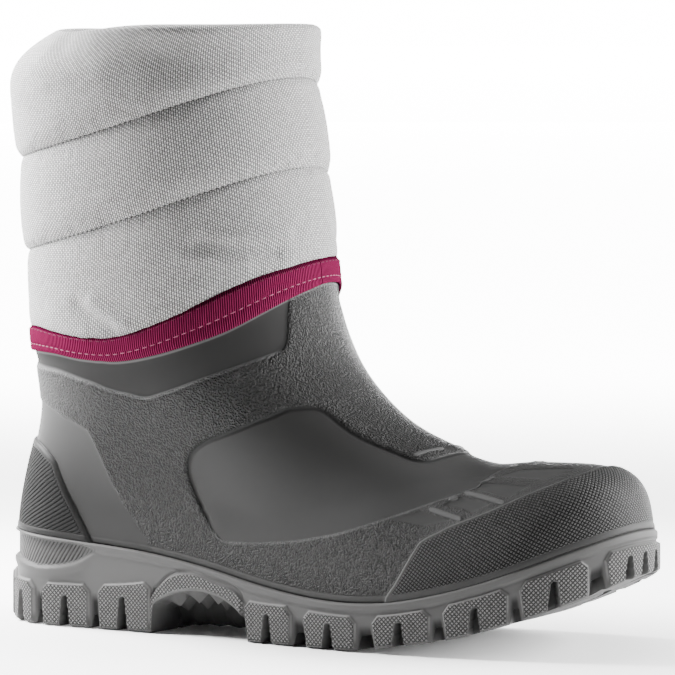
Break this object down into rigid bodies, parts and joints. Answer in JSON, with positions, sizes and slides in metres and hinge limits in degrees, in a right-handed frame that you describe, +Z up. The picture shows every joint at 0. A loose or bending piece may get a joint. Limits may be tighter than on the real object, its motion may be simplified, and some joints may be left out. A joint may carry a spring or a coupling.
{
  "type": "snow hiking boot",
  "caption": "Pull-on winter boot for the right foot: moulded rubber foot shell on a lugged outsole, padded fabric shaft, binding tape over the seam.",
  "frame": {"origin": "on the floor, under the middle of the boot's overall box", "axes": "+X towards the toe, +Y towards the inner side of the foot, +Z up"},
  "size_m": [0.2818, 0.1134, 0.2431],
  "materials": {
    "outsole_rubber": "matt mid-grey moulded rubber",
    "insole_felt": "dark grey felt",
    "shell_rubber": "dark grey moulded rubber with a fine grain",
    "shaft_fabric": "pale grey coarse woven nylon over padding",
    "tape_fabric": "magenta ribbed woven tape"
  },
  "bodies": {
    "root": {"outsole": "outsole_rubber", "insole": "insole_felt", "shell": "shell_rubber", "shaft": "shaft_fabric", "binding_tape": "tape_fabric"}
  },
  "joints": []
}
